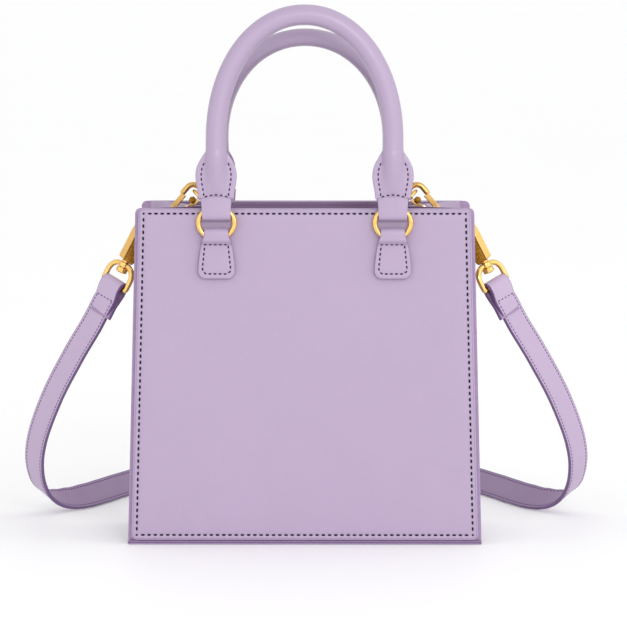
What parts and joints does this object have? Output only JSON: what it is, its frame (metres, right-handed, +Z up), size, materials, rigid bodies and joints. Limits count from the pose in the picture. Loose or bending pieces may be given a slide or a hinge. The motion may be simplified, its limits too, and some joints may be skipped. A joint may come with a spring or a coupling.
{
  "type": "tote bag",
  "caption": "small square leather tote bag with rolled top handles on rings, folded-in sides and a clip-on shoulder strap",
  "frame": {"origin": "middle of the bag's base, on the surface it stands on", "axes": "+X to the viewer's right along the front, +Y from the front to the back, +Z up"},
  "size_m": [0.3346, 0.2823, 0.3041],
  "materials": {
    "body_leather": "satin",
    "handle_leather": "satin",
    "strap_leather": "satin",
    "gold_metal": "polished"
  },
  "bodies": {
    "bag": {"front_panel": "body_leather", "back_panel": "body_leather", "side_left": "body_leather", "side_right": "body_leather", "base_panel": "body_leather", "tab_front_left": "body_leather", "tab_front_right": "body_leather", "tab_back_left": "body_leather", "tab_back_right": "body_leather", "inner_tab_left": "body_leather", "inner_tab_right": "body_leather", "handle_front": "handle_leather", "handle_back": "handle_leather", "handle_loop_front_left": "handle_leather", "handle_loop_front_right": "handle_leather", "handle_loop_back_left": "handle_leather", "handle_loop_back_right": "handle_leather", "ring_front_left": "gold_metal", "ring_front_right": "gold_metal", "ring_back_left": "gold_metal", "ring_back_right": "gold_metal", "inner_ring_left": "gold_metal", "inner_ring_right": "gold_metal", "clasp_left": "gold_metal", "clasp_right": "gold_metal", "strap_loop_left": "gold_metal", "strap_loop_right": "gold_metal", "shoulder_strap": "strap_leather"},
    "gate_left": {"clasp_gate_left": "gold_metal"},
    "gate_right": {"clasp_gate_right": "gold_metal"}
  },
  "joints": [
    {"name": "gate_left_hinge", "type": "hinge", "parent": "bag", "child": "gate_left", "pos_m": [-0.06733, -0.012, 0.18808], "axis": [0, -1, 0], "range_deg": [0, 16], "stiffness_Nm_per_rad": 0.004, "springref_deg": -14.32},
    {"name": "gate_right_hinge", "type": "hinge", "parent": "bag", "child": "gate_right", "pos_m": [0.06733, -0.012, 0.18808], "axis": [0, 1, 0], "range_deg": [0, 16], "stiffness_Nm_per_rad": 0.004, "springref_deg": -14.32}
  ]
}
